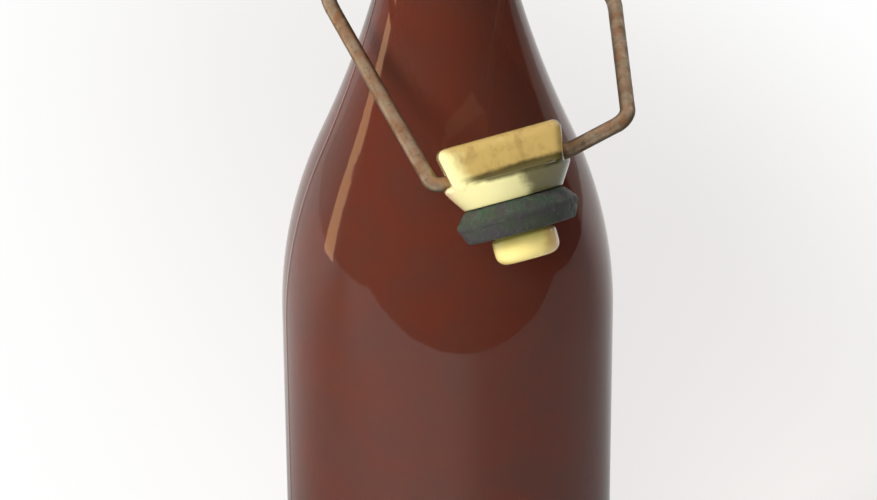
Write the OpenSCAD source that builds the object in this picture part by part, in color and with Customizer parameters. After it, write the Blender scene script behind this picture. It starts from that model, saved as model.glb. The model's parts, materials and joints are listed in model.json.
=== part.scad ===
// Swing top bottle, open, with its stopper hanging in front of the shoulder.
// Millimetres, +Z up. The origin is the middle of the base, on the ground.
// The closure pivots about a level line through the neck, along X. The open
// bail hangs toward -Y, and the raised lever stands behind the neck, at +Y.

/* [Bottle] */
// Diameter of the body
body_d = 70; // [68:0.5:72]
// Height of the straight side, from the ground to the start of the shoulder
body_h = 142.5; // [110:0.5:170]
// Thickness of the side wall
wall = 3.5; // [2.8:0.1:4]
// Thickness of the glass at the base
base_t = 5; // [4:0.1:8]
// Radius of the round edge at the foot
foot_round = 4; // [2:0.1:6]
// Diameter of the hollow under the base
punt_d = 50; // [30:0.5:52]
// Depth of the hollow under the base
punt_depth = 2; // [0.6:0.1:3]
// Radius of the round shoulder, seen from the side
shoulder_r = 96.7; // [90:0.1:100]
// Lean of the shoulder from upright where it turns into the neck, in degrees
shoulder_lean = 24.2; // [23.8:0.1:24.6]
// Radius of the hollow curve of the neck, seen from the side
neck_curve_r = 228; // [222:1:234]
// Lean of the neck from upright at its top, in degrees
neck_lean = 14; // [13.6:0.1:14.6]
// Radius of the curve that brings the neck upright under the finish
throat_r = 40; // [34:1:46]

/* [Finish] */
// Inner diameter of the mouth
mouth_d = 16.5; // [15.5:0.1:17]
// Height of the finish, from the top of the neck curve to the lip
finish_h = 22.4; // [20:0.1:26]
// Outer diameter of the lip
lip_d = 26; // [25.4:0.1:26.4]
// Height of the thickened lip
lip_h = 11; // [9:0.1:13]
// Radius of the outer edge of the lip
lip_round = 3.5; // [2.6:0.1:3.8]
// Radius of the inner edge of the lip
lip_in_round = 0.8; // [0.4:0.1:1.2]
// Distance from the lip down to the line of the pivots
pivot_drop = 35.5; // [34:0.1:36]
// Depth of the two pivot sockets in the glass
socket_depth = 2.6; // [2:0.1:3]

/* [Wire] */
// Thickness of the wire that the lever and the bail are bent from
wire_d = 3; // [2.6:0.1:3.2]
// Radius of the open bends, along the middle of the wire
bend_r = 3; // [2.4:0.1:3.4]
// Extra thickness of the wire where it is bent, on the radius
bend_swell = 0.03; // [0.03:0.01:0.06]
// Extra thickness of the wire where it is coiled into an eye, on the radius
eye_swell = 0.1; // [0.06:0.01:0.14]
// Gap around each pin that turns in a hole, on the radius
turn_gap = 0.08; // [0.04:0.01:0.1]
// Gap left along a pin's length beside each piece that turns on it
side_gap = 0.3; // [0.2:0.05:0.6]

/* [Lever] */
// Distance from the line of the pivots to the middle of the lever's eyes
eye_drop = 8.5; // [8.2:0.1:9]
// Distance from the middle of the neck to the middle of each lever arm
arm_x = 20.8; // [20.6:0.1:21.6]
// Distance behind the pivots at which the closed lever's arms turn in
elbow_back = 15; // [14.5:0.1:17]
// Distance below the pivots at which the closed lever's arms turn in
elbow_drop = 26; // [24:0.1:26.5]
// Distance behind the pivots of the closed lever's thumb bow
thumb_back = 30; // [29.6:0.1:33]
// Distance below the pivots of the closed lever's thumb bow
thumb_drop = 35; // [33:0.1:36]
// Width of the thumb bow, between the middles of its bends
thumb_w = 22; // [16:0.5:26]
// Turn of the lever from closed to open, in degrees
open_turn = 115; // [112:0.5:115]

/* [Bail] */
// Length of the crossbar to the left of the mouth's middle
bar_left = 14.5; // [14.5:0.1:16]
// Length of the crossbar to the right of the mouth's middle
bar_right = 26.3; // [24:0.1:28]
// Turn of the crossbar about the upright when closed, in degrees
bar_yaw = 13.8; // [10:0.1:16]
// Further turn of the crossbar's free right end, in degrees
stub_yaw = 20.6; // [10:0.1:24]
// Height above the pivots at which the closed bail's left arm turns in
bow_left_up = 2; // [0:0.1:6]
// Distance from the middle at which the right arm bows out
bow_right = 31.6; // [29:0.1:33]
// Height above the pivots at which the closed bail's right arm bows out
bow_right_up = 12; // [8:0.1:16]
// Radius of the shallow bends in the arms, along the middle of the wire
bow_r = 14; // [8:0.5:18]
// Diameter of the bail's flattened ends
peen_d = 4; // [3.6:0.1:4.2]
// Thickness of the bail's flattened ends
peen_t = 0.7; // [0.5:0.1:0.9]

/* [Stopper] */
// Length of the stopper's head, along the crossbar
head_len = 25.2; // [24:0.1:26]
// Thickness of the stopper's head, from front to back
head_w = 17; // [15:0.1:18]
// Height of the head above the middle of the crossbar
head_up = 6.5; // [5:0.1:7]
// Depth of the head below the middle of the crossbar
head_down = 1; // [0.6:0.1:2]
// Radius of the head's edges
head_round = 1.8; // [1:0.1:2.4]
// Lean of the head's two ends, which narrow toward the collar, in degrees
head_draft = 11; // [6:0.5:14]
// Largest diameter of the round collar under the head
collar_d = 25.6; // [25.2:0.1:26]
// Diameter of the collar where it meets the gasket
collar_end_d = 19.8; // [18.5:0.1:21]
// Height of the collar
collar_h = 5.3; // [4.5:0.1:6]
// Diameter of the stem that the gasket sits on
stem_d = 11.4; // [10.5:0.1:11.8]
// Diameter of the nose that enters the mouth
nose_d = 12.9; // [12.6:0.1:14]
// Length of the nose below the gasket
nose_h = 5.5; // [5:0.1:6.5]
// Radius of the edge of the nose
nose_round = 2.2; // [1:0.1:2.4]
// Turn of the stopper on the crossbar from closed to hanging, in degrees
hang_turn = 143.5; // [130:0.5:150]

/* [Gasket] */
// Largest diameter of the gasket
gasket_d = 24.4; // [24:0.1:25.2]
// Diameter of the gasket against the collar
gasket_top_d = 20.8; // [20.2:0.1:22]
// Diameter of the gasket's sealing face
gasket_seat_d = 22; // [20:0.1:23]
// Thickness of the gasket
gasket_t = 6.7; // [6:0.1:7]
// Gap between the gasket's hole and the stem, on the radius
gasket_gap = 0.05; // [0:0.01:0.1]
// Gap between the closed gasket and the lip
seat_gap = 0.3; // [0.2:0.05:0.5]

/* [Hidden] */
$fn = 64;
arc_step = 1.6;
body_r = body_d / 2;
wire_r = wire_d / 2;
hole_r = wire_r + turn_gap;
mouth_r = mouth_d / 2;
lip_r = lip_d / 2;

// Heights and radii at which the glass passes from one curve to the next
turn_z = body_h + shoulder_r * sin(shoulder_lean);
turn_r = body_r - shoulder_r * (1 - cos(shoulder_lean));
neck_top_z = turn_z + neck_curve_r * (sin(shoulder_lean) - sin(neck_lean));
neck_top_r = turn_r - neck_curve_r * (cos(neck_lean) - cos(shoulder_lean));
throat_z = neck_top_z + throat_r * sin(neck_lean);
finish_r = neck_top_r - throat_r * (1 - cos(neck_lean));
lip_z = throat_z + finish_h;
pivot_z = lip_z - pivot_drop;

// Radius of the glass at a height within the hollow curve of the neck
function neck_sin(z) = sin(shoulder_lean) - (z - turn_z) / neck_curve_r;
function neck_r_at(z) =
    turn_r - neck_curve_r * (sqrt(1 - pow(neck_sin(z), 2)) - cos(shoulder_lean));
pivot_r = neck_r_at(pivot_z);
socket_x = pivot_r - socket_depth;

// Inside of the glass: the bore runs straight down to this height, then
// opens out to the inner face of the neck
bore_z = pivot_z - 2 * hole_r - wall;
bore_lean = shoulder_lean - 4;

// The closed crossbar stands on the stopper, the gasket and the lip
seat_h = head_down + collar_h + gasket_t;
bar_rise = pivot_drop + seat_gap + seat_h;

// The eyes, and the bail's pins through them
eye_r = wire_d;
eye_wire_d = wire_d + 2 * eye_swell;
tight_r = wire_r + side_gap;
lap = 0.15;
peen_x = arm_x - eye_wire_d / 2 - side_gap;
elbow_x = arm_x + eye_wire_d / 2 + side_gap + tight_r;
straight_end = head_len / 2 + bend_r / 4;

// Points of a circle's arc, from angle a0 to a1
function arc_n(a0, a1) = ceil(abs(a1 - a0) / arc_step);
function arc(cx, cz, r, a0, a1) =
    let (n = arc_n(a0, a1))
    [for (i = [0 : n]) let (a = a0 + (a1 - a0) * i / n) [cx + r * cos(a), cz + r * sin(a)]];
function unit(v) = v / norm(v);

// A straight length of wire between two points
module rod(a, b, d) {
    v = b - a;
    translate(a)
        rotate([0, acos(v.z / norm(v)), atan2(v.y, v.x)])
            cylinder(d = d, h = norm(v));
}

// Half the turn of the wire at point p, and how much wire the bend takes up
function half_turn(a, p, c) = acos(unit(p - a) * unit(c - p)) / 2;
function take(a, p, c, r) = r * tan(half_turn(a, p, c));

// A bend of centre-line radius r at point p, coming from a and going to c
module bend(a, p, c, r, d) {
    u = unit(p - a);
    w = unit(c - p);
    o = p + unit(w - u) * r / cos(half_turn(a, p, c));
    x = unit(p - u * take(a, p, c, r) - o);
    n = cross(x, u);
    multmatrix([
        [x.x, u.x, n.x, o.x],
        [x.y, u.y, n.y, o.y],
        [x.z, u.z, n.z, o.z]
    ])
        rotate_extrude(angle = 2 * half_turn(a, p, c))
            translate([r, 0])
                circle(d = d + 2 * bend_swell);
}

// A wire along the points, with a bend of its own radius at each inner point.
// Each straight length laps a little way into the bends beside it.
module wire(pts, radii) {
    last = len(pts) - 1;
    for (i = [0 : last - 1]) {
        u = unit(pts[i + 1] - pts[i]);
        t0 = i == 0 ? 0 : take(pts[i - 1], pts[i], pts[i + 1], radii[i]) - wire_r * lap;
        t1 = i == last - 1 ? 0 : take(pts[i], pts[i + 1], pts[i + 2], radii[i + 1]) - wire_r * lap;
        rod(pts[i] + u * t0, pts[i + 1] - u * t1, wire_d);
    }
    for (i = [1 : 1 : last - 1])
        bend(pts[i - 1], pts[i], pts[i + 1], radii[i], wire_d);
}

// Turns what is drawn closed, about the pivots at the origin, to rest
module at_rest() {
    translate([0, 0, pivot_z])
        rotate([open_turn, 0, 0])
            children();
}

// Turns what is drawn upright about the crossbar to hang from it
module hanging() {
    at_rest()
        translate([0, 0, bar_rise])
            rotate(a = -hang_turn, v = [cos(bar_yaw), sin(bar_yaw), 0])
                rotate([0, 0, bar_yaw])
                    children();
}

// Outside of the glass, from the hollow of the base up to the lip
function outside() = concat(
    [[0, punt_depth], [punt_d / 2 - punt_depth, punt_depth], [punt_d / 2, 0]],
    arc(body_r - foot_round, foot_round, foot_round, -90, 0),
    arc(body_r - shoulder_r, body_h, shoulder_r, 0, shoulder_lean),
    [for (p = arc(turn_r + neck_curve_r * cos(shoulder_lean),
        turn_z + neck_curve_r * sin(shoulder_lean),
        neck_curve_r, 180 + shoulder_lean, 180 + neck_lean)) p],
    arc(neck_top_r + throat_r * cos(neck_lean), neck_top_z + throat_r * sin(neck_lean),
        throat_r, 180 + neck_lean, 180),
    [[finish_r, lip_z - lip_h], [lip_r, lip_z - lip_h + 2 * (lip_r - finish_r)]],
    arc(lip_r - lip_round, lip_z - lip_round, lip_round, 0, 90)
);

// Inside of the glass, from the lip down to the floor
function inside() = concat(
    arc(mouth_r + lip_in_round, lip_z - lip_in_round, lip_in_round, 90, 180),
    [[mouth_r, bore_z]],
    arc(turn_r + neck_curve_r * cos(shoulder_lean),
        turn_z + neck_curve_r * sin(shoulder_lean),
        neck_curve_r + wall, 180 + bore_lean, 180 + shoulder_lean),
    arc(body_r - shoulder_r, body_h, shoulder_r - wall, shoulder_lean, 0),
    arc(body_r - wall - foot_round, base_t + punt_depth + foot_round, foot_round, 0, -90),
    [[0, base_t + punt_depth]]
);

module bottle() {
    color([0.36, 0.19, 0.14])
        difference() {
            rotate_extrude()
                polygon(concat(outside(), inside()));
            for (side = [-1, 1])
                translate([side * (socket_x + body_r / 2), 0, pivot_z])
                    rotate([0, 90, 0])
                        cylinder(r = hole_r, h = body_r, center = true);
        }
}

module lever_wire() {
    eye = [0, 0, -eye_drop];
    away = unit([0, elbow_back, eye_drop - elbow_drop]);
    color([0.52, 0.43, 0.33])
        at_rest()
            difference() {
                union() {
                    for (side = [-1, 1]) {
                        across = [side * arm_x, 0, 0];
                        wire(
                            [[side * (socket_x + side_gap), 0, 0], across, across + eye + [0, 0, eye_r]],
                            [0, bend_r, 0]
                        );
                        translate(across + eye)
                            rotate([0, 90, 0])
                                rotate_extrude()
                                    translate([eye_r, 0])
                                        circle(d = eye_wire_d);
                    }
                    wire(
                        [
                            [arm_x, 0, 0] + eye + away * eye_r,
                            [arm_x, elbow_back, -elbow_drop],
                            [thumb_w / 2, thumb_back, -thumb_drop],
                            [-thumb_w / 2, thumb_back, -thumb_drop],
                            [-arm_x, elbow_back, -elbow_drop],
                            [-arm_x, 0, 0] + eye + away * eye_r
                        ],
                        [0, bend_r, bend_r, bend_r, bend_r, 0]
                    );
                }
                for (side = [-1, 1])
                    translate([side * arm_x, 0, 0] + eye)
                        rotate([0, 90, 0])
                            cylinder(r = hole_r, h = 2 * wire_d, center = true);
            }
}

module bail_wire() {
    top = [0, 0, bar_rise];
    along = [cos(bar_yaw), sin(bar_yaw), 0];
    astray = [cos(bar_yaw + stub_yaw), sin(bar_yaw + stub_yaw), 0];
    left = top - along * bar_left;
    kink = top + along * straight_end;
    right = kink + astray * (bar_right - straight_end);
    left_share = (eye_drop + bow_left_up) / (eye_drop + bar_rise);
    right_share = (eye_drop + bow_right_up) / (eye_drop + bar_rise);
    color([0.52, 0.43, 0.33])
        at_rest() {
            wire(
                [
                    [-peen_x, 0, -eye_drop],
                    [-elbow_x, 0, -eye_drop],
                    [-elbow_x, left.y * left_share, bow_left_up],
                    left,
                    kink,
                    right,
                    [bow_right, right.y * right_share, bow_right_up],
                    [elbow_x, 0, -eye_drop],
                    [peen_x, 0, -eye_drop]
                ],
                [0, tight_r, bow_r, bend_r * 0.8, bend_r, bend_r, bow_r, tight_r, 0]
            );
            for (side = [-1, 1])
                translate([side * (peen_x - peen_t / 2), 0, -eye_drop])
                    rotate([0, 90, 0])
                        cylinder(d = peen_d, h = peen_t, center = true);
        }
}

// A block with round edges along its height
module rounded_block(x, y, h, r) {
    linear_extrude(height = h)
        union() {
            square([x - 2 * r, y], center = true);
            square([x, y - 2 * r], center = true);
            for (i = [-1, 1], j = [-1, 1])
                translate([i * (x / 2 - r), j * (y / 2 - r)])
                    circle(r = r);
        }
}

// A block whose upper edges are round and whose two ends lean out, upward
module domed_block(x, y, low, high, r, draft) {
    mid_x = x / 2 - r;
    side = [mid_x + r * cos(draft), high - r - r * sin(draft)];
    foot_x = side.x - (side.y - low) * tan(draft);
    rotate([90, 0, 0])
        linear_extrude(height = y, center = true)
            union() {
                polygon([
                    [-foot_x, low], [foot_x, low], side,
                    [mid_x, high], [-mid_x, high], [-side.x, side.y]
                ]);
                for (i = [-1, 1])
                    translate([i * mid_x, high - r])
                        circle(r = r);
            }
}

module stopper() {
    low = -head_down - collar_h;
    tip = -seat_h - nose_h;
    color([0.84, 0.74, 0.44])
        hanging()
            difference() {
                union() {
                    intersection() {
                        translate([0, 0, -head_down])
                            rounded_block(head_len, head_w, head_down + head_up, head_round);
                        domed_block(head_len, head_w, -head_down, head_up, head_round, head_draft);
                        rotate([0, 0, 90])
                            domed_block(head_w, head_len, -head_down, head_up, head_round, 0);
                    }
                    rotate_extrude()
                        polygon(concat(
                            [
                                [0, -head_down],
                                [collar_d / 2 - head_round / 3, -head_down],
                                [collar_d / 2, -head_down - head_round / 3],
                                [collar_end_d / 2, low],
                                [stem_d / 2, low],
                                [stem_d / 2, -seat_h],
                                [nose_d / 2, -seat_h - (nose_d - stem_d) / 2]
                            ],
                            arc(nose_d / 2 - nose_round, tip + nose_round, nose_round, 0, -90),
                            [[0, tip]]
                        ));
                }
                rotate([0, 90, 0])
                    cylinder(r = hole_r, h = 2 * head_len, center = true);
            }
}

module gasket() {
    top = -head_down - collar_h;
    color([0.33, 0.36, 0.3])
        hanging()
            rotate_extrude()
                polygon([
                    [stem_d / 2 + gasket_gap, top],
                    [gasket_top_d / 2, top],
                    [gasket_d / 2, top - gasket_t * 0.33],
                    [gasket_d / 2, top - gasket_t * 0.6],
                    [gasket_seat_d / 2, top - gasket_t],
                    [stem_d / 2 + gasket_gap, top - gasket_t]
                ]);
}

bottle();
lever_wire();
bail_wire();
stopper();
gasket();
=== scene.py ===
import bpy
import bmesh
import math
import json
from mathutils import Matrix, Vector


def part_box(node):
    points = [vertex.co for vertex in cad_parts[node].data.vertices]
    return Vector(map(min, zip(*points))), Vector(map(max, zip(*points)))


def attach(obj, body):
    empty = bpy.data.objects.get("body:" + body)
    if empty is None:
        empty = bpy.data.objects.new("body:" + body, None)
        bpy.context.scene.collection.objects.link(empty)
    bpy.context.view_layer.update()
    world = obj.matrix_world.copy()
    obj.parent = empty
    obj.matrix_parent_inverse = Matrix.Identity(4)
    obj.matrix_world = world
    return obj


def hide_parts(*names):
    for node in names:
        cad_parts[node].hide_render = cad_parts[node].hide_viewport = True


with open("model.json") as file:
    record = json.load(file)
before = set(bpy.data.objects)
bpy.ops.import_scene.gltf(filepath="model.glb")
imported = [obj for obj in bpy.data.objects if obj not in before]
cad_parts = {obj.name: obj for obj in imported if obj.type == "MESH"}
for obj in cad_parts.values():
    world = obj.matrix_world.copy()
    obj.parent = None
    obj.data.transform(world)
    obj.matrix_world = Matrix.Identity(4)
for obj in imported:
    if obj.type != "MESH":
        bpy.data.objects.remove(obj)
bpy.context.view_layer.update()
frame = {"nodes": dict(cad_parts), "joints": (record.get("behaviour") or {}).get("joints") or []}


# ---------------------------------------------------------------- the bottle
# One piece of dark red-brown glass, blown in a mould: foot, straight body,
# round shoulder, slender neck and a thick lip. Two blind sockets in the neck
# hold the wire, and the mould leaves two fine seams.

MM = 0.001
TINY = 1e-6
BENCH = bpy.context.scene.collection

bottle_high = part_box("bottle")[1]
lever_joint, _, stopper_joint = frame["joints"]
BODY_R = bottle_high.x
LIP_Z = bottle_high.z
PIVOT_Z = lever_joint["pos_m"][2]
WALL = 3.5 * MM
FLOOR_T = 7 * MM
FOOT_ROUND = 4 * MM
PUNT_R = 25 * MM
PUNT_DEPTH = 2 * MM
SHOULDER_Z = 142.5 * MM
SHOULDER_R = 96.7 * MM
SHOULDER_LEAN = math.radians(24.2)
NECK_CURVE_R = 228 * MM
NECK_LEAN = math.radians(14)
THROAT_R = 40 * MM
MOUTH_R = 8.25 * MM
BORE_MIDDLE = 18 * MM
BORE_END = 1 * MM
BORE_BLEND = math.radians(3.2)
LIP_R = 13 * MM
LIP_H = 11 * MM
LIP_STEP = 0.4 * MM
LIP_ROUND = 3.5 * MM
LIP_IN_ROUND = 0.8 * MM
LIP_UNDER_ROUND = 1.5 * MM
SOCKET_R = 1.58 * MM
SOCKET_X = 11.5 * MM
SOCKET_DRILL = 8 * MM
SEAM_HEIGHT = 0.1 * MM
SEAM_ANGLE = math.radians(0.5)
BODY_RINGS = 12
BOTTLE_SIDES = 160
GLASS_CREASE = math.radians(50)

turn_z = SHOULDER_Z + SHOULDER_R * math.sin(SHOULDER_LEAN)
turn_r = BODY_R - SHOULDER_R * (1 - math.cos(SHOULDER_LEAN))
curve_r = turn_r + NECK_CURVE_R * math.cos(SHOULDER_LEAN)
curve_z = turn_z + NECK_CURVE_R * math.sin(SHOULDER_LEAN)
neck_top_z = curve_z - NECK_CURVE_R * math.sin(NECK_LEAN)
neck_top_r = curve_r - NECK_CURVE_R * math.cos(NECK_LEAN)
lip_neck_r = neck_top_r - THROAT_R * (1 - math.cos(NECK_LEAN))
bore_z = PIVOT_Z - 2 * SOCKET_R - WALL


def arc(centre_r, centre_z, radius, start, end, steps):
    """Points of an arc in a profile's plane, from angle start to angle end."""
    angles = [start + (end - start) * i / steps for i in range(steps + 1)]
    return [(centre_r + radius * math.cos(a), centre_z + radius * math.sin(a)) for a in angles]


def all_round(count):
    """Angles evenly round a full turn."""
    return [math.tau * i / count for i in range(count)]


def lathe(name, profile, angles, ridge=0.0):
    """Turns a closed profile about Z. The columns on -X and +X stand out by ridge."""
    bm = bmesh.new()
    rings = []
    for r, z in profile:
        if r < TINY:
            rings.append([bm.verts.new((0, 0, z))])
            continue
        ring = []
        for a in angles:
            lift = ridge if abs(math.sin(a)) < TINY else 0.0
            ring.append(bm.verts.new(((r + lift) * math.cos(a), (r + lift) * math.sin(a), z)))
        rings.append(ring)
    count = len(angles)
    for low, high in zip(rings, rings[1:] + rings[:1]):
        if len(low) == 1 and len(high) == 1:
            continue
        for i in range(count):
            j = (i + 1) % count
            if len(low) == 1:
                bm.faces.new((low[0], high[j], high[i]))
            elif len(high) == 1:
                bm.faces.new((low[i], low[j], high[0]))
            else:
                bm.faces.new((low[i], low[j], high[j], high[i]))
    bmesh.ops.recalc_face_normals(bm, faces=bm.faces[:])
    mesh = bpy.data.meshes.new(name)
    bm.to_mesh(mesh)
    bm.free()
    mesh.shade_smooth()
    piece = bpy.data.objects.new(name, mesh)
    BENCH.objects.link(piece)
    return piece


# The outside, from the middle of the punt under the foot to the lip.
punt = [
    (0, PUNT_DEPTH),
    (0.5 * PUNT_R, PUNT_DEPTH * 0.98),
    (PUNT_R - 2 * PUNT_DEPTH, PUNT_DEPTH * 0.8),
    (PUNT_R - 0.6 * PUNT_DEPTH, PUNT_DEPTH * 0.25),
    (PUNT_R, 0.0),
]
foot = arc(BODY_R - FOOT_ROUND, FOOT_ROUND, FOOT_ROUND, -math.pi / 2, 0, steps=10)
body_h = SHOULDER_Z - FOOT_ROUND
body = [(BODY_R, FOOT_ROUND + body_h * k / BODY_RINGS) for k in range(1, BODY_RINGS)]
shoulder = arc(BODY_R - SHOULDER_R, SHOULDER_Z, SHOULDER_R, 0, SHOULDER_LEAN, steps=20)
neck = arc(
    curve_r, curve_z, NECK_CURVE_R,
    math.pi + SHOULDER_LEAN, math.pi + NECK_LEAN, steps=20,
)
throat = arc(
    neck_top_r + THROAT_R * math.cos(NECK_LEAN), neck_top_z + THROAT_R * math.sin(NECK_LEAN), THROAT_R,
    math.pi + NECK_LEAN, math.pi, steps=8,
)
under_lip = arc(
    LIP_R - LIP_UNDER_ROUND, LIP_Z - LIP_H + 1.2 * LIP_UNDER_ROUND, LIP_UNDER_ROUND,
    -math.pi / 3, 0, steps=6,
)
over_lip = arc(LIP_R - LIP_ROUND, LIP_Z - LIP_ROUND, LIP_ROUND, 0, math.pi / 2, steps=10)
outside = (
    punt + foot + body + shoulder + neck[1:] + throat[1:]
    + [(lip_neck_r, LIP_Z - LIP_H - LIP_STEP)] + under_lip + over_lip
)
# The seams reach the full width, so the glass beside them stands back a little.
outside = [(max(0.0, r - SEAM_HEIGHT) if z > FOOT_ROUND / 2 else r, z) for r, z in outside]

# The inside, from the mouth down to the middle of the floor.
inside = (
    arc(MOUTH_R + LIP_IN_ROUND, LIP_Z - LIP_IN_ROUND, LIP_IN_ROUND, math.pi / 2, math.pi, steps=6)
    + [(MOUTH_R, bore_z + BORE_MIDDLE), (MOUTH_R, bore_z + BORE_END)]
    + arc(
        curve_r, curve_z, NECK_CURVE_R + WALL,
        math.pi + SHOULDER_LEAN - BORE_BLEND, math.pi + SHOULDER_LEAN, steps=6,
    )
    + arc(BODY_R - SHOULDER_R, SHOULDER_Z, SHOULDER_R - WALL, SHOULDER_LEAN, 0, steps=16)[1:]
    + arc(BODY_R - WALL - FOOT_ROUND, FLOOR_T + FOOT_ROUND, FOOT_ROUND, 0, -math.pi / 2, steps=8)
    + [(0, FLOOR_T)]
)
columns = all_round(BOTTLE_SIDES)
for side in (0, math.pi):
    columns.append((side + SEAM_ANGLE) % math.tau)
    columns.append((side - SEAM_ANGLE) % math.tau)
columns.sort()
glass_bottle = lathe("glass_bottle", outside + inside, columns, SEAM_HEIGHT)

socket_mesh = bpy.data.meshes.new("socket_tool")
bm = bmesh.new()
for side in (-1, 1):
    socket_middle = Matrix.Translation((side * (SOCKET_X + SOCKET_DRILL / 2), 0, PIVOT_Z))
    bmesh.ops.create_cone(
        bm, cap_ends=True, segments=32, radius1=SOCKET_R, radius2=SOCKET_R, depth=SOCKET_DRILL,
        matrix=socket_middle @ Matrix.Rotation(math.pi / 2, 4, "Y"),
    )
bm.to_mesh(socket_mesh)
bm.free()
socket_tool = bpy.data.objects.new("socket_tool", socket_mesh)
BENCH.objects.link(socket_tool)
cut = glass_bottle.modifiers.new("sockets", "BOOLEAN")
cut.operation = "DIFFERENCE"
cut.object = socket_tool
cut.solver = "EXACT"
bpy.context.view_layer.objects.active = glass_bottle
bpy.ops.object.modifier_apply(modifier="sockets")
bpy.data.objects.remove(socket_tool)
glass_bottle.data.shade_smooth()
glass_bottle.data.set_sharp_from_angle(angle=GLASS_CREASE)


def maths(tree, operation, first, second=None, third=None, clamp=False):
    """One Math node. An input is a number or another node's output."""
    node = tree.nodes.new("ShaderNodeMath")
    node.operation = operation
    node.use_clamp = clamp
    for slot, value in enumerate((first, second, third)):
        if value is None:
            continue
        if isinstance(value, (int, float)):
            node.inputs[slot].default_value = value
        else:
            tree.links.new(value, node.inputs[slot])
    return node.outputs[0]


def times(tree, first, *others):
    """A product. For shares from 0 to 1 it is 1 only where each of them is."""
    for other in others:
        first = maths(tree, "MULTIPLY", first, other)
    return first


def ramp(tree, value, low, high):
    """0 where value is at low, 1 where it is at high, smooth between them."""
    node = tree.nodes.new("ShaderNodeMapRange")
    node.interpolation_type = "SMOOTHSTEP"
    node.inputs["From Min"].default_value = low
    node.inputs["From Max"].default_value = high
    tree.links.new(value, node.inputs["Value"])
    return node.outputs["Result"]


def blend_colours(tree, share, under, over):
    """Mixes over on top of under by share. A colour is a tuple or an output."""
    node = tree.nodes.new("ShaderNodeMix")
    node.data_type = "RGBA"
    tree.links.new(share, node.inputs["Factor"])
    for slot, value in (("A", under), ("B", over)):
        if isinstance(value, tuple):
            node.inputs[slot].default_value = (*value, 1)
        else:
            tree.links.new(value, node.inputs[slot])
    return node.outputs["Result"]


# Mottle: soft blotches from 0 to 1, about Scale of them to the metre. Least
# and Most are the noise levels at which a blotch starts and is full.
mottle = bpy.data.node_groups.new("mottle", "ShaderNodeTree")
for socket in ("Scale", "Least", "Most"):
    mottle.interface.new_socket(socket, in_out="INPUT", socket_type="NodeSocketFloat")
mottle.interface.new_socket("Blotches", in_out="OUTPUT", socket_type="NodeSocketFloat")
asked = mottle.nodes.new("NodeGroupInput")
given = mottle.nodes.new("NodeGroupOutput")
where = mottle.nodes.new("ShaderNodeTexCoord")
cloud = mottle.nodes.new("ShaderNodeTexNoise")
cloud.inputs["Detail"].default_value = 4
cloud.inputs["Roughness"].default_value = 0.6
spread = mottle.nodes.new("ShaderNodeMapRange")
spread.interpolation_type = "SMOOTHSTEP"
mottle.links.new(where.outputs["Object"], cloud.inputs["Vector"])
mottle.links.new(asked.outputs["Scale"], cloud.inputs["Scale"])
mottle.links.new(cloud.outputs["Fac"], spread.inputs["Value"])
mottle.links.new(asked.outputs["Least"], spread.inputs["From Min"])
mottle.links.new(asked.outputs["Most"], spread.inputs["From Max"])
mottle.links.new(spread.outputs["Result"], given.inputs["Blotches"])


def blotches(tree, scale, least, most):
    """The mottle group in a material, with its own scale and limits."""
    node = tree.nodes.new("ShaderNodeGroup")
    node.node_tree = mottle
    node.inputs["Scale"].default_value = scale
    node.inputs["Least"].default_value = least
    node.inputs["Most"].default_value = most
    return node.outputs["Blotches"]


def relief(tree, height, depth, strength=1.0):
    """A Bump node: depth in metres where height goes from 0 to 1."""
    node = tree.nodes.new("ShaderNodeBump")
    node.inputs["Strength"].default_value = strength
    node.inputs["Distance"].default_value = depth
    tree.links.new(height, node.inputs["Height"])
    return node.outputs["Normal"]


def new_finish(name, plain):
    """A material with one shader, whose plain sockets are set for the whole surface."""
    finish = bpy.data.materials.new(name)
    finish.use_nodes = True
    shader = finish.node_tree.nodes["Principled BSDF"]
    for socket, value in plain.items():
        shader.inputs[socket].default_value = value
    return finish, finish.node_tree, shader


def give_finish(piece, finish):
    """Puts one finish on the whole of a piece."""
    piece.data.materials.clear()
    piece.data.materials.append(finish)


RED_BROWN = (0.150, 0.046, 0.030)
BRIGHTER_RED = (0.178, 0.041, 0.023)
FILM_LEAST = 0.035
FILM_MORE = 0.03
RIPPLE_DEPTH = 0.05 * MM

glass, tree, shader = new_finish("red_brown_glass", {"IOR": 1.5, "Transmission Weight": 0.42})
uneven = blotches(tree, scale=90, least=0.3, most=0.7)
tree.links.new(blend_colours(tree, uneven, RED_BROWN, BRIGHTER_RED), shader.inputs["Base Color"])
film = maths(tree, "MULTIPLY_ADD", blotches(tree, scale=45, least=0.4, most=0.75), FILM_MORE, FILM_LEAST)
tree.links.new(film, shader.inputs["Roughness"])
ripple = blotches(tree, scale=45, least=0.1, most=0.9)
tree.links.new(relief(tree, ripple, RIPPLE_DEPTH), shader.inputs["Normal"])
give_finish(glass_bottle, glass)
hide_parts("bottle")
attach(glass_bottle, "bottle")


# ---------------------------------------------------------------- the lever
# Bent from one length of 3 mm steel wire, bright when new and now browned
# and dull. Its pins spring into the bottle's sockets, its eyes carry the
# bail, and its bow is for the thumb.

STEEL = (0.51, 0.38, 0.255)
RUST = (0.45, 0.23, 0.12)
WIRE_GRIME = (0.14, 0.10, 0.05)
# The next colour and direction paint shade on the wire: dark on the sides away from the light, pale on
# the side that faces it.
WIRE_SIDE_SHADE = (0.115, 0.078, 0.034)
LIT_SIDE = (-0.36, -0.72, 0.59)
RAGGED = 0.35
WIRE_DULLNESS = 0.30
RUST_DULLNESS = 0.25
PIT_DEPTH = 0.08 * MM


def fades_out(tree, value, low, high):
    """1 where value is at low, 0 where it is at high, smooth between them."""
    return maths(tree, "SUBTRACT", 1.0, ramp(tree, value, low, high))


def wander(tree, scale, reach):
    """Goes unevenly up and down by half of reach, to make an edge ragged."""
    centred = maths(tree, "SUBTRACT", blotches(tree, scale, least=0, most=1), 0.5)
    return maths(tree, "MULTIPLY", centred, reach)


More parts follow.
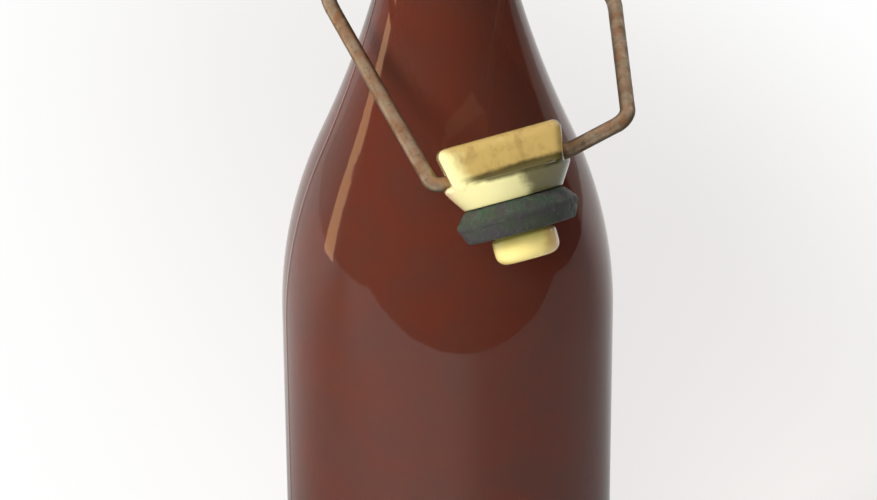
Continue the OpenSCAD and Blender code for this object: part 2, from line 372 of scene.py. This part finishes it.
def lay_stain_or_light(tree, colour, share, laid_colour, strength):
    """Lays a stain, painted light or painted shade over a colour, at the given strength where share is
    1.
    """
    return blend_colours(tree, times(tree, share, strength), colour, laid_colour)


wire_steel, tree, shader = new_finish("browned_wire", {"Metallic": 0.7})
rust = blotches(tree, scale=240, least=0.38, most=0.66)
grime = blotches(tree, scale=700, least=0.52, most=0.76)
metal_colour = blend_colours(tree, rust, STEEL, RUST)
metal_colour = lay_stain_or_light(tree, metal_colour, grime, WIRE_GRIME, strength=0.6)

# Painted light and shade: the side that faces the light stays pale, and the other sides are painted
# dark.
sides = tree.nodes.new("ShaderNodeTexCoord")
facing_lit_side = tree.nodes.new("ShaderNodeVectorMath")
facing_lit_side.operation = "DOT_PRODUCT"
facing_lit_side.inputs[1].default_value = LIT_SIDE
tree.links.new(sides.outputs["Normal"], facing_lit_side.inputs[0])
toward_light = maths(tree, "ADD", facing_lit_side.outputs["Value"], wander(tree, scale=420, reach=RAGGED))
painted_side_shade = fades_out(tree, toward_light, low=0.42, high=0.88)
metal_colour = lay_stain_or_light(tree, metal_colour, painted_side_shade, WIRE_SIDE_SHADE, strength=0.85)
tree.links.new(metal_colour, shader.inputs["Base Color"])
dullness = maths(tree, "MULTIPLY_ADD", rust, RUST_DULLNESS, WIRE_DULLNESS)
tree.links.new(dullness, shader.inputs["Roughness"])
pits = blotches(tree, scale=1500, least=0.2, most=0.8)
tree.links.new(relief(tree, pits, PIT_DEPTH), shader.inputs["Normal"])

lever = frame["nodes"]["lever_wire"]
give_finish(lever, wire_steel)
lever.data.shade_smooth()


# ----------------------------------------------------------------- the bail
# A second length of the same wire. Its flattened ends turn in the lever's
# eyes, and its crossbar, bent out of line at the right, carries the stopper.

bail = frame["nodes"]["bail_wire"]
give_finish(bail, wire_steel)
bail.data.shade_smooth()


# -------------------------------------------------------------- the stopper
# Moulded porcelain under a clear glaze: a block-shaped head with a hole for
# the crossbar, a conical collar, and a stem and nose for the gasket. The
# glaze has yellowed, and the corner under the head has painted shade with old grime.

OPEN_TURN = math.radians(lever_joint["range_deg"][1])
HANG_TURN = math.radians(stopper_joint["range_deg"][1])
BAR_YAW = math.radians(13.8)
HEAD_L = 25.2 * MM
HEAD_W = 17 * MM
HEAD_UP = 6.5 * MM
HEAD_DOWN = 1 * MM
HEAD_SUNK = 0.5 * MM
HEAD_ROUND = 2.0 * MM
HEAD_CORNER = 0.15 * MM
HEAD_DRAFT = math.radians(11)
CORNER_STEPS = 6
SIDE_STEPS = 4
EDGE_STEPS = 7
HOLE_R = 1.62 * MM
HOLE_FLARE = 2.3 * MM
FLARE_START = 2.2 * MM
FLARE_END = 1.0 * MM
FLARE_DRILL = 6 * MM
COLLAR_R = 12.8 * MM
COLLAR_END_R = 9.9 * MM
COLLAR_H = 5.3 * MM
COLLAR_ROUND = 0.7 * MM
COLLAR_FLAT = 0.9 * MM
COLLAR_SLOPE = math.radians(25)
ROOT_R = 7.5 * MM
ROOT_H = 1.0 * MM
STEM_R = 5.7 * MM
SEAT_H = 13.0 * MM
NOSE_R = 6.45 * MM
NOSE_H = 5.5 * MM
NOSE_TAPER = 0.8 * MM
NOSE_ROUND = 2.2 * MM
SHANK_SIDES = 96
HOLE_SIDES = 48
GLAZE_VOXEL = 0.26 * MM

# The stopper is made upright about its crossbar, with the crossbar along X,
# and this places it as it hangs.
hanging = (
    Matrix.Translation(stopper_joint["pos_m"])
    @ Matrix.Rotation(OPEN_TURN, 4, "X")
    @ Matrix.Rotation(-HANG_TURN, 4, Vector((math.cos(BAR_YAW), math.sin(BAR_YAW), 0)))
    @ Matrix.Rotation(BAR_YAW, 4, "Z")
)


def set_hanging(piece):
    """Hangs a piece that was made upright, and keeps its upright places for its finish."""
    upright = piece.data.attributes.new("upright", "FLOAT_VECTOR", "POINT")
    for vertex, kept in zip(piece.data.vertices, upright.data):
        kept.vector = vertex.co
    piece.data.transform(hanging)


def upright_axes(tree):
    """The upright X, Y and Z of each point of a piece hung by set_hanging."""
    place = tree.nodes.new("ShaderNodeAttribute")
    place.attribute_name = "upright"
    axes = tree.nodes.new("ShaderNodeSeparateXYZ")
    tree.links.new(place.outputs["Vector"], axes.inputs["Vector"])
    return axes.outputs["X"], axes.outputs["Y"], axes.outputs["Z"]


def block_ring(bm, half_x, half_y, corner, z):
    """One level ring of a block with round corners."""
    ring = []
    for quarter, (sx, sy) in enumerate(((1, 1), (-1, 1), (-1, -1), (1, -1))):
        for step in range(CORNER_STEPS + 1):
            a = math.pi / 2 * (quarter + step / CORNER_STEPS)
            x = sx * (half_x - corner) + corner * math.cos(a)
            y = sy * (half_y - corner) + corner * math.sin(a)
            ring.append(bm.verts.new((x, y, z)))
    return ring


# The head's two ends lean in toward the collar with the mould's draft, and
# its top edge is rounded. Each level is a height and how far it is set in.
side_low = -HEAD_DOWN - HEAD_SUNK
side_high = HEAD_UP - HEAD_ROUND
levels = [(side_low + (side_high - side_low) * step / SIDE_STEPS, 0.0) for step in range(SIDE_STEPS + 1)]
for step in range(1, EDGE_STEPS + 1):
    a = math.pi / 2 * step / EDGE_STEPS
    levels.append((side_high + HEAD_ROUND * math.sin(a), HEAD_ROUND * (1 - math.cos(a))))

bm = bmesh.new()
rings = []
for z, inset in levels:
    narrow = (HEAD_UP - z) * math.tan(HEAD_DRAFT)
    corner = max(HEAD_ROUND - inset, HEAD_CORNER)
    rings.append(block_ring(bm, HEAD_L / 2 - narrow - inset, HEAD_W / 2 - inset, corner, z))
for low, high in zip(rings, rings[1:]):
    for i in range(len(low)):
        j = (i + 1) % len(low)
        bm.faces.new((low[i], low[j], high[j], high[i]))
bm.faces.new(rings[-1])
bm.faces.new(list(reversed(rings[0])))
bmesh.ops.recalc_face_normals(bm, faces=bm.faces[:])
head_mesh = bpy.data.meshes.new("porcelain_stopper")
bm.to_mesh(head_mesh)
bm.free()
porcelain_stopper = bpy.data.objects.new("porcelain_stopper", head_mesh)
BENCH.objects.link(porcelain_stopper)

half_hole = [
    (HOLE_R, HEAD_L / 2 - FLARE_START),
    (HOLE_FLARE, HEAD_L / 2 - FLARE_END),
    (HOLE_R + FLARE_DRILL, HEAD_L),
    (0, HEAD_L),
]
other_half = [(r, -z) for r, z in reversed(half_hole)]
hole_tool = lathe("hole_tool", other_half + half_hole, all_round(HOLE_SIDES))
hole_tool.data.transform(Matrix.Rotation(math.pi / 2, 4, "Y"))

# Collar, stem and nose, with a short root that goes up into the head.
shank_profile = (
    [(0, -HEAD_DOWN + ROOT_H), (ROOT_R, -HEAD_DOWN + ROOT_H), (ROOT_R, -HEAD_DOWN)]
    + [(COLLAR_R - COLLAR_FLAT, -HEAD_DOWN)]
    + arc(
        COLLAR_R - COLLAR_ROUND, -HEAD_DOWN - COLLAR_ROUND, COLLAR_ROUND,
        math.pi / 2, -COLLAR_SLOPE, steps=6,
    )
    + [(COLLAR_END_R, -HEAD_DOWN - COLLAR_H), (STEM_R, -HEAD_DOWN - COLLAR_H)]
    + [(STEM_R, -SEAT_H), (NOSE_R, -SEAT_H - NOSE_TAPER)]
    + arc(NOSE_R - NOSE_ROUND, -SEAT_H - NOSE_H + NOSE_ROUND, NOSE_ROUND, 0, -math.pi / 2, steps=8)
    + [(0, -SEAT_H - NOSE_H)]
)
shank = lathe("shank", shank_profile, all_round(SHANK_SIDES))
for other, operation in ((shank, "UNION"), (hole_tool, "DIFFERENCE")):
    join = porcelain_stopper.modifiers.new(other.name, "BOOLEAN")
    join.operation = operation
    join.object = other
    join.solver = "EXACT"
remesh = porcelain_stopper.modifiers.new("glaze_skin", "REMESH")
remesh.mode = "VOXEL"
remesh.voxel_size = GLAZE_VOXEL
soften = porcelain_stopper.modifiers.new("soft_edges", "SMOOTH")
soften.factor = 0.5
soften.iterations = 4
bpy.context.view_layer.update()
solid = porcelain_stopper.evaluated_get(bpy.context.evaluated_depsgraph_get())
glazed_mesh = bpy.data.meshes.new_from_object(solid)
porcelain_stopper.modifiers.clear()
porcelain_stopper.data = glazed_mesh
porcelain_stopper.data.shade_smooth()
for tool in (shank, hole_tool):
    bpy.data.objects.remove(tool)
set_hanging(porcelain_stopper)

CREAM = (0.84, 0.78, 0.37)
OCHRE = (0.52, 0.365, 0.115)
UMBER = (0.34, 0.21, 0.07)
# The next two olives paint shade, in the corner under the head and on the collar's right, and the pink
# after them paints a highlight.
CREASE_SHADE_OLIVE = (0.050, 0.040, 0.008)
COLLAR_SHADE_OLIVE = (0.100, 0.080, 0.028)
RIM_HIGHLIGHT_PINK = (0.95, 0.66, 0.46)
YELLOW = (0.92, 0.74, 0.24)
MOSS = (0.32, 0.30, 0.05)
TEA = (0.55, 0.30, 0.12)
WANDER_REACH = 5 * MM
WANDER_UP = 0.25
LEFT_END_SLANT = 0.65
CORNER_DROP = 0.9 * MM
RUN_FINENESS = 620
RUN_LENGTH_FINENESS = 130
CRAZING_WIDTH = 0.045
CRAZING_DEPTH = 0.02 * MM

porcelain, tree, shader = new_finish("yellowed_porcelain", {
    "Roughness": 0.16,
    "IOR": 1.5,
    "Coat Weight": 0.5,
    "Coat Roughness": 0.06,
})

# Stains and painted shade have uneven edges, so they follow places that wander.
along, across, up = upright_axes(tree)
uneven_edge = wander(tree, scale=160, reach=WANDER_REACH)
loose_along = maths(tree, "ADD", along, uneven_edge)
loose_up = maths(tree, "ADD", up, times(tree, uneven_edge, WANDER_UP))

# The head is ochre, but for its left end, which is cream.
on_head = ramp(tree, up, low=-HEAD_DOWN - 0.2 * MM, high=-HEAD_DOWN + 0.4 * MM)
slanted = maths(tree, "ADD", loose_along, times(tree, up, LEFT_END_SLANT))
off_left_end = ramp(tree, slanted, low=-8.9 * MM, high=-5.2 * MM)
ochre_share = times(tree, on_head, off_left_end)
glaze_colour = blend_colours(tree, ochre_share, CREAM, OCHRE)
smudge = times(tree, blotches(tree, scale=420, least=0.5, most=0.72), ochre_share)
glaze_colour = lay_stain_or_light(tree, glaze_colour, smudge, UMBER, strength=0.55)

# Stains that have run down: noise drawn out along the stopper's height.
drawn_out = tree.nodes.new("ShaderNodeCombineXYZ")
for socket, axis, fineness in (
    ("X", along, RUN_FINENESS),
    ("Y", across, RUN_FINENESS),
    ("Z", up, RUN_LENGTH_FINENESS),
):
    tree.links.new(times(tree, axis, fineness), drawn_out.inputs[socket])
streaked = tree.nodes.new("ShaderNodeTexNoise")
streaked.inputs["Scale"].default_value = 1
streaked.inputs["Detail"].default_value = 3
tree.links.new(drawn_out.outputs["Vector"], streaked.inputs["Vector"])
runs = times(tree, ramp(tree, streaked.outputs["Fac"], low=0.52, high=0.72), ochre_share)
glaze_colour = lay_stain_or_light(tree, glaze_colour, runs, UMBER, strength=0.5)
# Painted shade: the head darkens towards its right, away from the light.
head_right_shade = times(tree, ochre_share, ramp(tree, loose_along, low=-1 * MM, high=12 * MM))
glaze_colour = lay_stain_or_light(tree, glaze_colour, head_right_shade, UMBER, strength=0.25)
worn_pale = blotches(tree, scale=230, least=0.55, most=0.72)
glaze_colour = lay_stain_or_light(tree, glaze_colour, worn_pale, CREAM, strength=0.22)

# Painted shade with an olive stain lies over the collar's right, away from the light,
# and painted shade with grime lies thickest in the corner between head and collar.
below_head = fades_out(tree, up, low=-HEAD_DOWN - 0.4 * MM, high=-HEAD_DOWN + 0.1 * MM)
above_gasket = ramp(tree, up, low=-HEAD_DOWN - COLLAR_H - 0.6 * MM, high=-HEAD_DOWN - COLLAR_H)
on_right = ramp(tree, loose_along, low=0.5 * MM, high=3.5 * MM)
collar_right_shade = times(tree, below_head, above_gasket, on_right)
# Painted shade with an olive stain: the collar's right is darkened, away from the light.
glaze_colour = lay_stain_or_light(tree, glaze_colour, collar_right_shade, COLLAR_SHADE_OLIVE, strength=0.9)
# Painted shade with grime in the corner between head and collar.
from_corner = maths(tree, "ABSOLUTE", maths(tree, "ADD", loose_up, CORNER_DROP))
in_corner = fades_out(tree, from_corner, low=0.5 * MM, high=1.5 * MM)
crease_shade_and_grime = times(tree, in_corner, ramp(tree, loose_along, low=-9.5 * MM, high=-5 * MM))
glaze_colour = lay_stain_or_light(tree, glaze_colour, crease_shade_and_grime, CREASE_SHADE_OLIVE, strength=0.92)

# The collar's left rim has a painted pinkish highlight.
left_rim = fades_out(tree, loose_along, low=-12.2 * MM, high=-9.2 * MM)
rim_highlight_share = times(tree, below_head, above_gasket, left_rim)
glaze_colour = lay_stain_or_light(tree, glaze_colour, rim_highlight_share, RIM_HIGHLIGHT_PINK, strength=0.6)

# The nose is yellower, green near the gasket and brown at its right.
on_nose = fades_out(tree, up, low=-SEAT_H - 0.2 * MM, high=-SEAT_H + 0.4 * MM)
glaze_colour = lay_stain_or_light(tree, glaze_colour, on_nose, YELLOW, strength=0.8)
near_gasket = times(tree, on_nose, ramp(tree, loose_up, low=-SEAT_H - 3 * MM, high=-SEAT_H - 0.3 * MM))
glaze_colour = lay_stain_or_light(tree, glaze_colour, near_gasket, MOSS, strength=0.7)
nose_right = times(tree, on_nose, ramp(tree, loose_along, low=2.5 * MM, high=5.5 * MM))
glaze_colour = lay_stain_or_light(tree, glaze_colour, nose_right, TEA, strength=0.6)
tree.links.new(glaze_colour, shader.inputs["Base Color"])

# Fine crazing in the glaze.
crackle = tree.nodes.new("ShaderNodeTexVoronoi")
crackle.feature = "DISTANCE_TO_EDGE"
crackle.inputs["Scale"].default_value = 420
place = tree.nodes.new("ShaderNodeTexCoord")
tree.links.new(place.outputs["Object"], crackle.inputs["Vector"])
crazing = ramp(tree, crackle.outputs["Distance"], low=0.0, high=CRAZING_WIDTH)
tree.links.new(relief(tree, crazing, CRAZING_DEPTH, strength=0.5), shader.inputs["Normal"])
give_finish(porcelain_stopper, porcelain)
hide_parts("stopper")
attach(porcelain_stopper, "stopper")


# --------------------------------------------------------------- the gasket
# A thick rubber ring that is stretched over the nose and sits on the stem
# against the collar. Age has hardened it and turned it grey and green.

GASKET_R = 12.2 * MM
GASKET_TOP_R = 10.4 * MM
GASKET_SEAT_R = 11.0 * MM
GASKET_T = 6.7 * MM
GASKET_BELLY = 0.47 * GASKET_T
GASKET_BELLY_ROUND = 1.1 * MM
GASKET_BELLY_TOP = math.radians(62)
GASKET_BELLY_LOW = math.radians(-50)
GASKET_HOLE_R = 5.75 * MM
GASKET_HOLE_EDGE = 0.3 * MM
GASKET_EDGE = 0.9 * MM
GASKET_SIDES = 96

gasket_top = -HEAD_DOWN - COLLAR_H
gasket_low = gasket_top - GASKET_T
gasket_profile = (
    [(GASKET_HOLE_R, gasket_top - GASKET_HOLE_EDGE), (GASKET_HOLE_R + GASKET_HOLE_EDGE, gasket_top)]
    + [(GASKET_TOP_R - GASKET_EDGE, gasket_top), (GASKET_TOP_R - 0.2 * MM, gasket_top - 0.35 * MM)]
    + arc(
        GASKET_R - GASKET_BELLY_ROUND, gasket_top - GASKET_BELLY, GASKET_BELLY_ROUND,
        GASKET_BELLY_TOP, GASKET_BELLY_LOW, steps=9,
    )
    + [(GASKET_SEAT_R + 0.15 * MM, gasket_low + 0.75 * MM)]
    + [(GASKET_SEAT_R - 0.3 * MM, gasket_low + 0.15 * MM)]
    + [(GASKET_SEAT_R - GASKET_EDGE, gasket_low), (GASKET_HOLE_R + GASKET_HOLE_EDGE, gasket_low)]
    + [(GASKET_HOLE_R, gasket_low + GASKET_HOLE_EDGE)]
)
rubber_ring = lathe("rubber_ring", gasket_profile, all_round(GASKET_SIDES))
rounding = rubber_ring.modifiers.new("rounding", "SUBSURF")
rounding.levels = 2
rounding.render_levels = 2
set_hanging(rubber_ring)

GREY_RUBBER = (0.046, 0.055, 0.038)
PURPLE_RUBBER = (0.052, 0.046, 0.050)
GREEN_RUBBER = (0.038, 0.075, 0.042)
BLOOM = (0.12, 0.13, 0.10)
RUBBER_DULLNESS = 0.45
CHALK_DULLNESS = 0.3
GRAIN_DEPTH = 0.15 * MM

rubber, tree, shader = new_finish("old_rubber", {"Specular IOR Level": 0.35})
up = upright_axes(tree)[2]
purple_share = blotches(tree, scale=220, least=0.42, most=0.6)
rubber_colour = blend_colours(tree, purple_share, GREY_RUBBER, PURPLE_RUBBER)
upper = ramp(tree, up, low=gasket_low + 2.5 * MM, high=gasket_top - 0.6 * MM)
green_share = times(tree, upper, blotches(tree, scale=340, least=0.4, most=0.6))
rubber_colour = blend_colours(tree, green_share, rubber_colour, GREEN_RUBBER)
bloom = blotches(tree, scale=800, least=0.55, most=0.75)
rubber_colour = lay_stain_or_light(tree, rubber_colour, bloom, BLOOM, strength=0.5)
tree.links.new(rubber_colour, shader.inputs["Base Color"])
chalk = blotches(tree, scale=500, least=0.4, most=0.7)
tree.links.new(
    maths(tree, "MULTIPLY_ADD", chalk, CHALK_DULLNESS, RUBBER_DULLNESS), shader.inputs["Roughness"])
grain = blotches(tree, scale=1100, least=0.3, most=0.7)
tree.links.new(relief(tree, grain, GRAIN_DEPTH), shader.inputs["Normal"])
give_finish(rubber_ring, rubber)
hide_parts("gasket")
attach(rubber_ring, "stopper")


# ------------------------------------------------- floor, light and camera
# A sheet of white paper on a wide table, in a pale room that is dim in front
# and has one window. Two soft lamps and a narrow warm one stand at the left,
# and the camera looks down at the shoulder.

PAPER_LEFT = -1.2
PAPER_RIGHT = 0.9
PAPER_FRONT = -0.44
PAPER_BACK = 2.5
TABLE_REACH = 6
TABLE_DROP = 1 * MM
PAPER_WHITE = (0.97, 0.945, 0.92)
PAPER_SHADED = (0.29, 0.32, 0.32)
PAPER_LIT = (0.62, 0.67, 0.66)
PAPER_BEHIND = (0.80, 0.79, 0.77)
WHITE = (1, 1, 1)
SHADOW_SQUEEZE = (6, 2, 1)
SHADOW_SHIFT = (-0.6, -0.4, 0)
BLEACH_LEAST = 0.26
BLEACH_MORE = 0.74


def flat_sheet(name, left, right, front, back, z):
    """A level rectangle."""
    mesh = bpy.data.meshes.new(name)
    corners = [(left, front, z), (right, front, z), (right, back, z), (left, back, z)]
    mesh.from_pydata(corners, [], [(0, 1, 2, 3)])
    sheet = bpy.data.objects.new(name, mesh)
    BENCH.objects.link(sheet)
    return sheet


def seen_directly(tree, rays):
    """1 for what the camera sees, straight or through glass."""
    return maths(tree, "MAXIMUM", rays.outputs["Is Camera Ray"], rays.outputs["Is Transmission Ray"])


floor = flat_sheet("paper", PAPER_LEFT, PAPER_RIGHT, PAPER_FRONT, PAPER_BACK, 0)
paper = bpy.data.materials.new("white_paper")
paper.use_nodes = True
tree = paper.node_tree
tree.nodes.clear()
rays = tree.nodes.new("ShaderNodeLightPath")
spot = tree.nodes.new("ShaderNodeTexCoord")
spots = tree.nodes.new("ShaderNodeSeparateXYZ")
tree.links.new(spot.outputs["Object"], spots.inputs["Vector"])

# What reflections see of the paper is painted light, an emission: brighter in
# front at the left, as if the lamps lit it, and brightest far behind.
lit_side = ramp(tree, times(tree, spots.outputs["X"], -1.0), low=-0.06, high=0.07)
lit_front = ramp(tree, times(tree, spots.outputs["Y"], -1.0), low=-0.05, high=0.16)
painted_reflection_colour = blend_colours(tree, times(tree, lit_side, lit_front), PAPER_SHADED, PAPER_LIT)
far_behind = ramp(tree, spots.outputs["Y"], low=0.03, high=0.3)
painted_reflection_colour = blend_colours(tree, far_behind, painted_reflection_colour, PAPER_BEHIND)
mirrored = tree.nodes.new("ShaderNodeEmission")
tree.links.new(painted_reflection_colour, mirrored.inputs["Color"])

# What the camera sees: matt paper with the bottle's shadow near the bottle,
# bleached to an even white further away.
matt = tree.nodes.new("ShaderNodeBsdfDiffuse")
matt.inputs["Color"].default_value = (*PAPER_WHITE, 1)
bleached = tree.nodes.new("ShaderNodeEmission")
bleached.inputs["Color"].default_value = (*WHITE, 1)
squeezed = tree.nodes.new("ShaderNodeVectorMath")
squeezed.operation = "MULTIPLY_ADD"
squeezed.inputs[1].default_value = SHADOW_SQUEEZE
squeezed.inputs[2].default_value = SHADOW_SHIFT
tree.links.new(spot.outputs["Object"], squeezed.inputs[0])
away = tree.nodes.new("ShaderNodeVectorMath")
away.operation = "LENGTH"
tree.links.new(squeezed.outputs["Vector"], away.inputs[0])
off_shadow = ramp(tree, away.outputs["Value"], low=0.25, high=1.1)
bleach = maths(tree, "MULTIPLY_ADD", off_shadow, BLEACH_MORE, BLEACH_LEAST)
faded = tree.nodes.new("ShaderNodeMixShader")
tree.links.new(times(tree, bleach, seen_directly(tree, rays)), faded.inputs["Fac"])
tree.links.new(matt.outputs["BSDF"], faded.inputs[1])
tree.links.new(bleached.outputs["Emission"], faded.inputs[2])

either = tree.nodes.new("ShaderNodeMixShader")
out = tree.nodes.new("ShaderNodeOutputMaterial")
tree.links.new(rays.outputs["Is Glossy Ray"], either.inputs["Fac"])
tree.links.new(faded.outputs["Shader"], either.inputs[1])
tree.links.new(mirrored.outputs["Emission"], either.inputs[2])
tree.links.new(either.outputs["Shader"], out.inputs["Surface"])
give_finish(floor, paper)

# The table goes on past the paper, but no reflection sees it.
table = flat_sheet("table", -TABLE_REACH, TABLE_REACH, -TABLE_REACH, TABLE_REACH, -TABLE_DROP)
table.visible_glossy = False
table.visible_diffuse = False
give_finish(table, paper)

# The room is white to the camera and through the glass. Reflections see its
# back wall, its dim front and its window, and the light from it is even.
WALL_BESIDE = (0.34, 0.30, 0.27)
WALL_BEHIND = (0.60, 0.58, 0.56)
WINDOW = (1.5, 1.5, 1.5)
DIM_FRONT = (0.03, 0.02, 0.018)
ROOM_LIGHT = (0.36, 0.36, 0.37)
FRONT_EDGE = 0.22
FRONT_SHARPNESS = 12.0
TOP_EDGE = 0.75
TOP_SHARPNESS = 3.0

room = bpy.data.worlds.new("room")
room.use_nodes = True
bpy.context.scene.world = room
tree = room.node_tree
tree.nodes.clear()
rays = tree.nodes.new("ShaderNodeLightPath")
heading = tree.nodes.new("ShaderNodeTexCoord")
toward = tree.nodes.new("ShaderNodeSeparateXYZ")
tree.links.new(heading.outputs["Generated"], toward.inputs["Vector"])
behind = ramp(tree, toward.outputs["Y"], low=0.3, high=0.8)
reflected = blend_colours(tree, behind, WALL_BESIDE, WALL_BEHIND)
window = times(
    tree,
    ramp(tree, toward.outputs["X"], low=0.62, high=0.68),
    ramp(tree, toward.outputs["Y"], low=-0.12, high=-0.06),
    ramp(tree, toward.outputs["Z"], low=0.02, high=0.06),
)
reflected = blend_colours(tree, window, reflected, WINDOW)
past_side = maths(tree, "ADD", times(tree, toward.outputs["Y"], -1.0), FRONT_EDGE)
in_front = maths(tree, "MULTIPLY", past_side, FRONT_SHARPNESS, clamp=True)
below_top = maths(tree, "SUBTRACT", TOP_EDGE, toward.outputs["Z"])
low_enough = maths(tree, "MULTIPLY", below_top, TOP_SHARPNESS, clamp=True)
reflected = blend_colours(tree, times(tree, in_front, low_enough), reflected, DIM_FRONT)
straight = blend_colours(tree, seen_directly(tree, rays), ROOM_LIGHT, WHITE)
colour = blend_colours(tree, rays.outputs["Is Glossy Ray"], straight, reflected)
sky = tree.nodes.new("ShaderNodeBackground")
tree.links.new(colour, sky.inputs["Color"])
out = tree.nodes.new("ShaderNodeOutputWorld")
tree.links.new(sky.outputs["Background"], out.inputs["Surface"])


def lamp(name, place, aim, width, height, watts, tint, mirrored):
    """A flat lamp at place, turned to aim. Reflections show it only if mirrored."""
    data = bpy.data.lights.new(name, "AREA")
    data.shape = "RECTANGLE"
    data.size = width
    data.size_y = height
    data.energy = watts
    data.color = tint
    thing = bpy.data.objects.new(name, data)
    thing.location = place
    thing.rotation_euler = (Vector(aim) - Vector(place)).to_track_quat("-Z", "Y").to_euler()
    thing.visible_glossy = mirrored
    thing.visible_transmission = False
    BENCH.objects.link(thing)


SOFT_WHITE = (1, 0.99, 0.97)
CANDLE = (1, 0.61, 0.29)
BODY_MIDDLE = (0, 0, 0.15)
SHOULDER_MIDDLE = (0, 0, 0.17)
lamp(
    "broad_lamp", place=(-1.15, -0.35, 1.05), aim=BODY_MIDDLE,
    width=0.6, height=0.6, watts=20, tint=SOFT_WHITE, mirrored=False,
)
lamp(
    "front_lamp", place=(-0.55, -1.25, 1.0), aim=BODY_MIDDLE,
    width=0.4, height=0.4, watts=8, tint=SOFT_WHITE, mirrored=False,
)
lamp(
    "warm_strip", place=(-1.0, 0.3, 0.16), aim=SHOULDER_MIDDLE,
    width=0.18, height=0.32, watts=0.62, tint=CANDLE, mirrored=True,
)

VIEW_DISTANCE = 800 * MM
VIEW_TURN = math.radians(-14.6)
VIEW_HEIGHT = math.radians(27.7)
VIEW_ROLL = math.radians(-0.35)
VIEW_AIM = Vector((-1.8, 0.5, 155.8)) * MM
LENS = 156.8
SENSOR = 36
NEAREST = 0.01

camera_data = bpy.data.cameras.new("camera")
camera_data.lens = LENS
camera_data.sensor_width = SENSOR
camera_data.clip_start = NEAREST
camera = bpy.data.objects.new("camera", camera_data)
toward_camera = Vector((
    math.sin(VIEW_TURN) * math.cos(VIEW_HEIGHT),
    -math.cos(VIEW_TURN) * math.cos(VIEW_HEIGHT),
    math.sin(VIEW_HEIGHT),
))
camera.location = VIEW_AIM + toward_camera * VIEW_DISTANCE
level_view = (-toward_camera).to_track_quat("-Z", "Y")
camera.rotation_mode = "QUATERNION"
camera.rotation_quaternion = level_view @ Matrix.Rotation(VIEW_ROLL, 3, "Z").to_quaternion()
BENCH.objects.link(camera)
bpy.context.scene.camera = camera
bpy.context.scene.view_settings.view_transform = "Standard"
